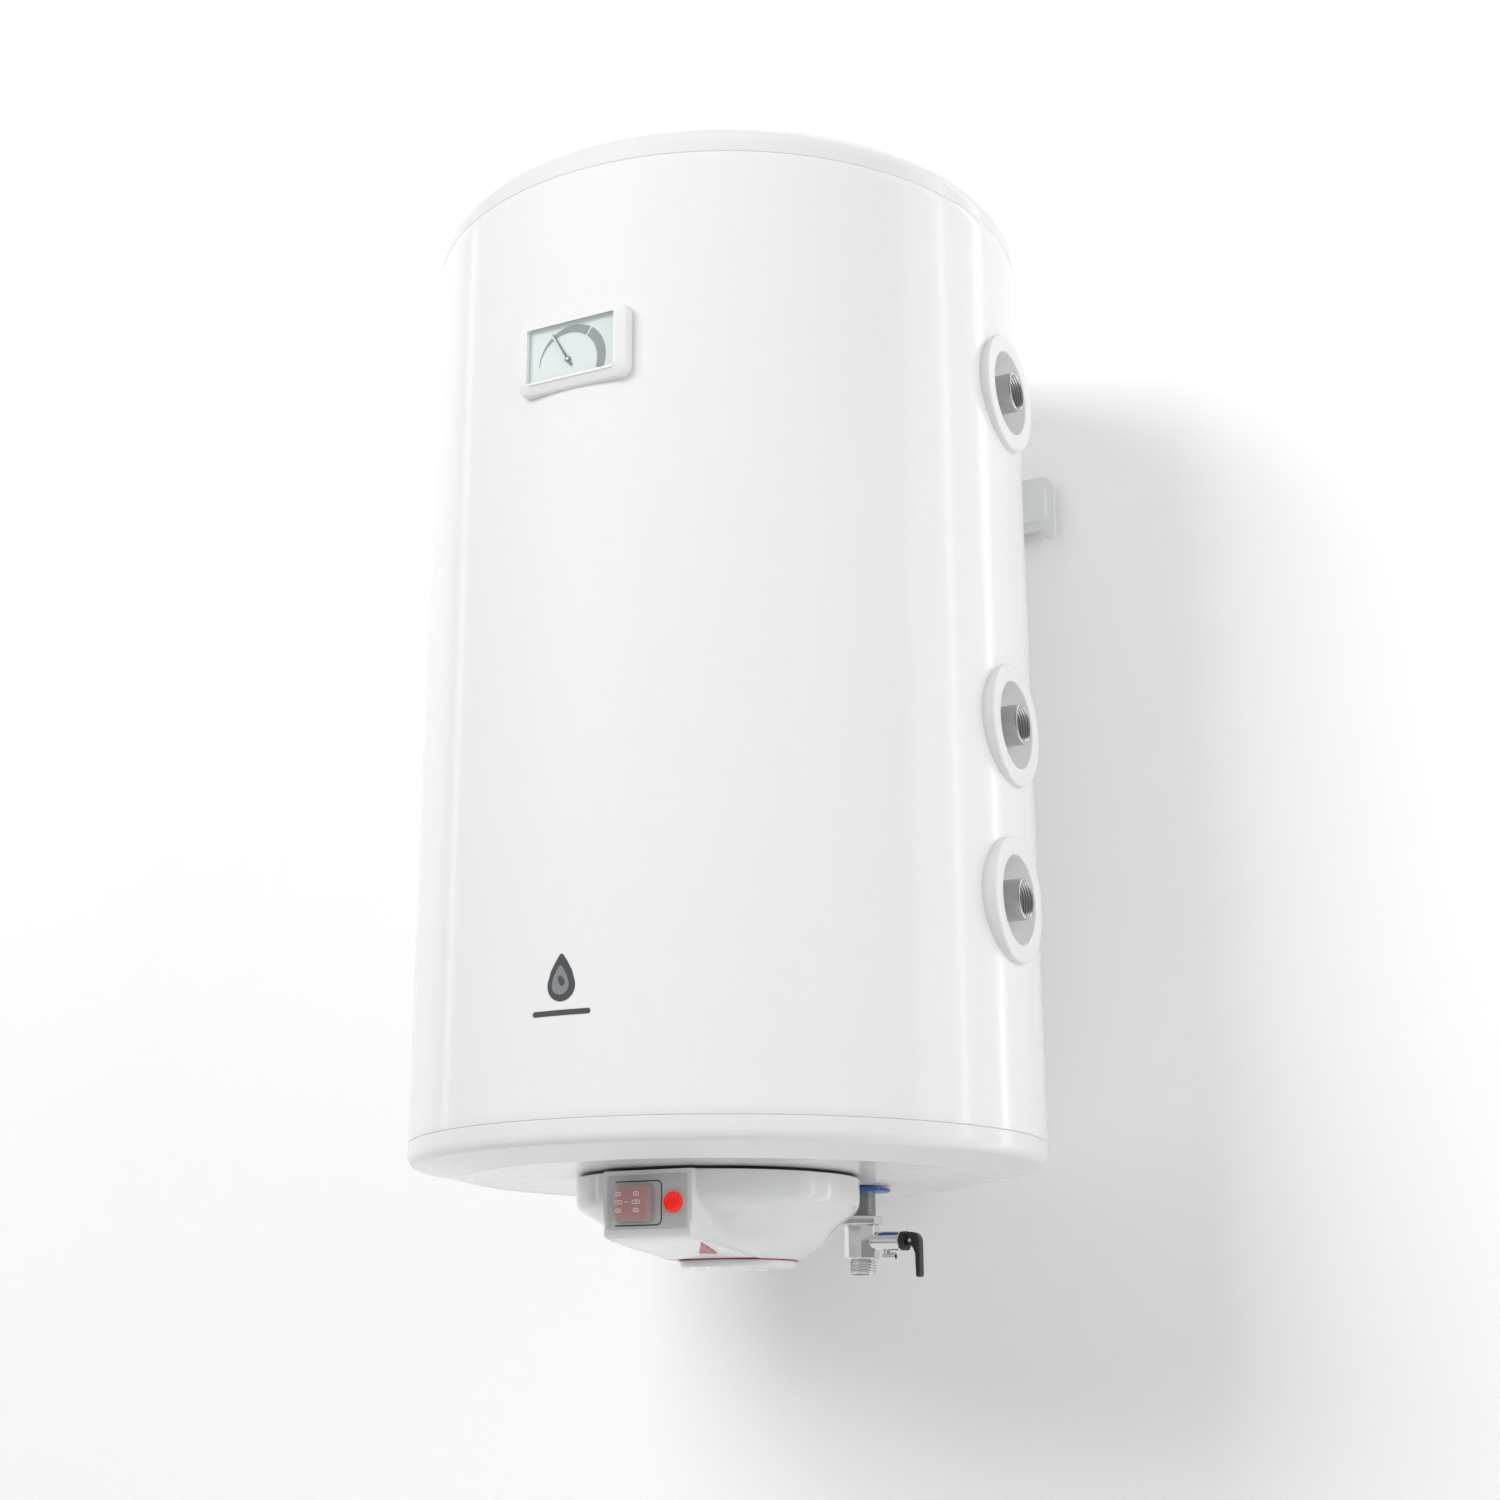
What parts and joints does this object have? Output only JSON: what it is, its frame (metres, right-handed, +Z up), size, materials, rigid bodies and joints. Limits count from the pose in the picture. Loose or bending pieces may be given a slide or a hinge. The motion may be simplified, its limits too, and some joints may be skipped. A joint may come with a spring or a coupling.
{
  "type": "wall-hung tank water heater",
  "caption": "Wall-hung upright cylindrical tank water heater with side pipe ports, dial thermometer, control cover with knob and rocker, and lever safety valve.",
  "frame": {"origin": "back face of the hanging bracket's plate, midway between its two anchor slots; the wall is 12.5 mm behind", "axes": "+Z up along the tank, -Y the front, +X the side with the three pipe ports"},
  "size_m": [0.449, 0.473, 0.758],
  "materials": {
    "white_enamel": "gloss",
    "white_cap": "gloss",
    "white_cover": "gloss",
    "pale_panel": "satin",
    "pale_bezel": "satin",
    "clear_lens": "clear",
    "clear_hood": "clear",
    "dial_face": "matte",
    "pointer_grey": "satin",
    "red_rocker": "gloss",
    "red_lamp": "gloss",
    "red_trim": "gloss",
    "blue_trim": "gloss",
    "plated_brass": "polished",
    "dull_steel": "dull",
    "zinc_steel": "plated",
    "enamelled_steel": "vitreous enamel",
    "stainless": "bright",
    "copper_like": "bright",
    "magnesium": "as cast",
    "foam": "rough",
    "black_plastic": "satin",
    "black_rubber": "matte",
    "white_nylon": "satin",
    "dark_print": "printed film",
    "white_bracket": "powder coat"
  },
  "bodies": {
    "heater": {"outer_jacket": "white_enamel", "top_cap": "white_cap", "bottom_cap": "white_cap", "insulation_foam": "foam", "inner_tank": "enamelled_steel", "flange_ring": "enamelled_steel", "flange_gasket": "black_rubber", "flange_lid": "stainless", "flange_screws": "zinc_steel", "heating_elements": "stainless", "thermowell": "stainless", "thermostat_bulb": "copper_like", "magnesium_anode": "magnesium", "heat_exchanger": "enamelled_steel", "recirculation_port": "dull_steel", "coil_flow_port": "dull_steel", "coil_return_port": "dull_steel", "recirculation_collar": "white_cap", "coil_flow_collar": "white_cap", "coil_return_collar": "white_cap", "cold_inlet_pipe": "dull_steel", "inlet_diffuser": "white_nylon", "hot_outlet_pipe": "dull_steel", "cold_ring": "blue_trim", "hot_ring": "red_trim", "wall_bracket": "white_bracket", "bracket_studs": "zinc_steel", "bracket_nuts": "zinc_steel", "wall_spacers": "white_nylon", "control_cover": "white_cover", "cover_screws": "zinc_steel", "cable_gland": "black_rubber", "control_panel": "pale_panel", "switch_body": "black_plastic", "switch_hood": "clear_hood", "lamp_lens": "red_lamp", "lamp_body": "black_plastic", "thermostat_body": "black_plastic", "safety_cutout": "black_plastic", "terminal_block": "white_nylon", "gauge_bezel": "pale_bezel", "gauge_dial": "dial_face", "gauge_lens": "clear_lens", "gauge_pin": "zinc_steel", "gauge_probe": "zinc_steel", "badge": "dark_print", "valve_body": "plated_brass", "check_guide": "white_nylon", "check_spring": "stainless", "relief_cap": "black_plastic", "relief_spring": "stainless", "lever_pin": "stainless"},
    "knob": {"thermostat_shaft": "zinc_steel", "thermostat_knob": "white_cover", "knob_ring": "red_trim"},
    "rocker": {"rocker": "red_rocker"},
    "pointer": {"gauge_pointer": "pointer_grey"},
    "lever": {"relief_lever": "black_plastic"},
    "relief": {"relief_stem": "stainless"},
    "check": {"check_poppet": "white_nylon"}
  },
  "joints": [
    {"name": "knob_turn", "type": "hinge", "parent": "heater", "child": "knob", "pos_m": [0, -0.2185, -0.609], "axis": [0, 0, -1], "range_deg": [-70, 200]},
    {"name": "rocker_tilt", "type": "hinge", "parent": "heater", "child": "rocker", "pos_m": [-0.0085, -0.3431, -0.575], "axis": [0, 0, 1], "range_deg": [0, 18]},
    {"name": "pointer_swing", "type": "hinge", "parent": "heater", "child": "pointer", "pos_m": [-0.003, -0.4574, -0.0255], "axis": [0, -1, 0], "range_deg": [-146, 60]},
    {"name": "lever_turn", "type": "hinge", "parent": "heater", "child": "lever", "pos_m": [0.09, -0.1225, -0.5905], "axis": [0, -1, 0], "range_deg": [0, 81]},
    {"name": "relief_lift", "type": "slide", "parent": "heater", "child": "relief", "axis": [1, 0, 0], "range_m": [0, 0.002], "deforming": ["relief_spring"]},
    {"name": "check_lift", "type": "slide", "parent": "heater", "child": "check", "axis": [0, 0, 1], "range_m": [0, 0.003], "stiffness_N_per_m": 20, "springref_m": -0.002, "deforming": ["check_spring"]}
  ],
  "couplings": [
    {"joint": "relief_lift", "follows": "lever_turn", "m_per_rad": 0.0014}
  ]
}
